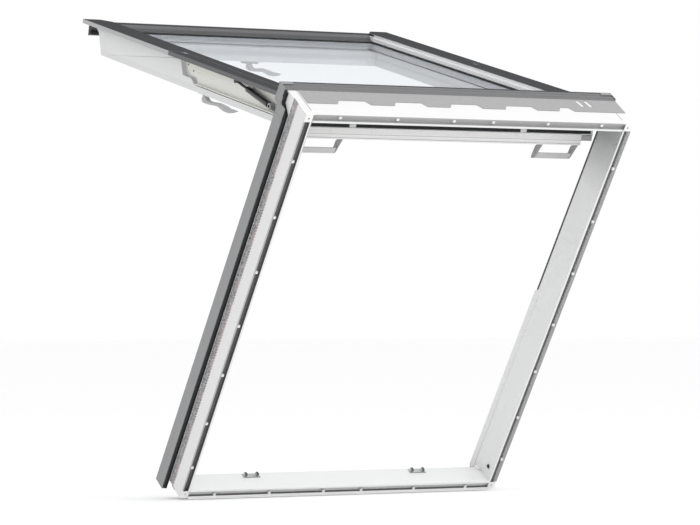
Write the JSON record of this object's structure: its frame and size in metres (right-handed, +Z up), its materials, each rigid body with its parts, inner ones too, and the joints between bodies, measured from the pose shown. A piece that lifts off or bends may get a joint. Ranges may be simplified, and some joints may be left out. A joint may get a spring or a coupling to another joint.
{
  "type": "roof window",
  "caption": "Top-hung roof window with a white moulded frame and sash, grey aluminium covers, insulating glass, lifting arms, ventilation flap and lever handles, shown open.",
  "frame": {"origin": "centre of the frame's bottom end face", "axes": "+X across the window, +Y level and outwards from the room, +Z up, with the window in a 55 degree roof"},
  "size_m": [1.16, 1.5067, 1.5319],
  "materials": {
    "white_frame": "satin",
    "rubber": "matt",
    "cover_grey": "satin",
    "cover_dark": "satin",
    "zinc_sheet": "satin",
    "white_plastic": "matt",
    "dark_steel": "satin",
    "steel": "satin",
    "black_steel": "semi-gloss",
    "arm_white": "satin",
    "clear_glass": "clear",
    "spacer": "matt",
    "bare_aluminium": "satin",
    "brass": "plain",
    "grey_plastic": "matt",
    "handle_metal": "satin"
  },
  "bodies": {
    "frame": {"frame_ring": "white_frame", "frame_gaskets": "rubber", "side_cover_left": "cover_grey", "side_cover_right": "cover_grey", "corner_cap_left": "cover_grey", "corner_cap_right": "cover_grey", "top_cover": "cover_grey", "top_plate": "zinc_sheet", "bottom_cover": "cover_dark", "lining_clips": "white_plastic", "corner_blocks": "white_plastic", "corner_screws": "dark_steel", "strikers": "dark_steel", "bolt_bush": "steel", "bolt_catch": "white_plastic", "top_seal_clips": "white_plastic", "hinge_bracket_left": "steel", "hinge_bracket_right": "steel", "hinge_pin_left": "steel", "hinge_pin_right": "steel", "strut_bracket_left": "black_steel", "strut_bracket_right": "black_steel"},
    "arms": {"arm_left": "arm_white", "arm_right": "arm_white", "pivot_plate_left": "arm_white", "pivot_plate_right": "arm_white", "pivot_pin_left": "steel", "pivot_pin_right": "steel", "arm_cover_left": "cover_dark", "arm_cover_right": "cover_dark", "arm_screws": "dark_steel"},
    "sash": {"sash_ring": "white_frame", "outer_pane": "clear_glass", "inner_pane": "clear_glass", "pane_spacer": "spacer", "glazing_gasket": "rubber", "sash_cover_left": "cover_dark", "sash_cover_right": "cover_dark", "sash_cover_bottom": "cover_dark", "sash_cover_top": "cover_dark", "glazing_profiles": "bare_aluminium", "pivot_bush_left": "brass", "pivot_bush_right": "brass", "vent_seal": "rubber", "vent_end_blocks": "grey_plastic", "lock_case": "steel", "handle_base": "handle_metal", "side_handle_base": "handle_metal", "drip_gasket": "rubber"},
    "strut_left": {"strut_tube_left": "black_steel"},
    "strut_right": {"strut_tube_right": "black_steel"},
    "rod_left": {"strut_rod_left": "black_steel"},
    "rod_right": {"strut_rod_right": "black_steel"},
    "lock_bolts": {"lock_bolts": "steel"},
    "handle": {"handle_lever": "handle_metal"},
    "side_handle": {"side_handle_lever": "handle_metal"},
    "flap": {"vent_flap": "arm_white", "pull_loops": "handle_metal", "vent_caps": "white_plastic"}
  },
  "joints": [
    {"name": "top_hinge", "type": "hinge", "parent": "frame", "child": "arms", "pos_m": [0, -0.68177, 1.18288], "axis": [1, 0, 0], "range_deg": [-68, 0]},
    {"name": "centre_pivot", "type": "hinge", "parent": "arms", "child": "sash", "pos_m": [0, -0.03868, 1.33134], "axis": [1, 0, 0], "range_deg": [0, 155]},
    {"name": "handle_turn", "type": "hinge", "parent": "sash", "child": "handle", "pos_m": [0, 0.59017, 1.36363], "axis": [0, 0.225, -0.9744], "range_deg": [0, 90]},
    {"name": "bolt_slide", "type": "slide", "parent": "sash", "child": "lock_bolts", "axis": [0, 0.9744, 0.225], "range_m": [0, 0.0222]},
    {"name": "side_handle_turn", "type": "hinge", "parent": "sash", "child": "side_handle", "pos_m": [-0.505, -0.07045, 1.21112], "axis": [0, 0.225, -0.9744], "range_deg": [-60, 30]},
    {"name": "flap_tilt", "type": "hinge", "parent": "sash", "child": "flap", "pos_m": [0, -0.62292, 1.09691], "axis": [1, 0, 0], "range_deg": [0, 20]},
    {"name": "strut_swing_left", "type": "hinge", "parent": "frame", "child": "strut_left", "pos_m": [-0.5395, -0.66292, 1.12283], "axis": [1, 0, 0], "range_deg": [-75.31, 0]},
    {"name": "rod_slide_left", "type": "slide", "parent": "strut_left", "child": "rod_left", "axis": [0, 0.9274, 0.374], "range_m": [-0.05972, 0]},
    {"name": "strut_swing_right", "type": "hinge", "parent": "frame", "child": "strut_right", "pos_m": [0.5395, -0.66292, 1.12283], "axis": [1, 0, 0], "range_deg": [-75.31, 0]},
    {"name": "rod_slide_right", "type": "slide", "parent": "strut_right", "child": "rod_right", "axis": [0, 0.9274, 0.374], "range_m": [-0.05972, 0]}
  ],
  "couplings": [
    {"joint": "bolt_slide", "follows": "handle_turn", "m_per_rad": 0.014006},
    {"joint": "strut_swing_left", "follows": "top_hinge", "ratio": 1.1001},
    {"joint": "rod_slide_left", "follows": "top_hinge", "m_per_rad": 0.049901},
    {"joint": "strut_swing_right", "follows": "top_hinge", "ratio": 1.1001},
    {"joint": "rod_slide_right", "follows": "top_hinge", "m_per_rad": 0.049901}
  ]
}
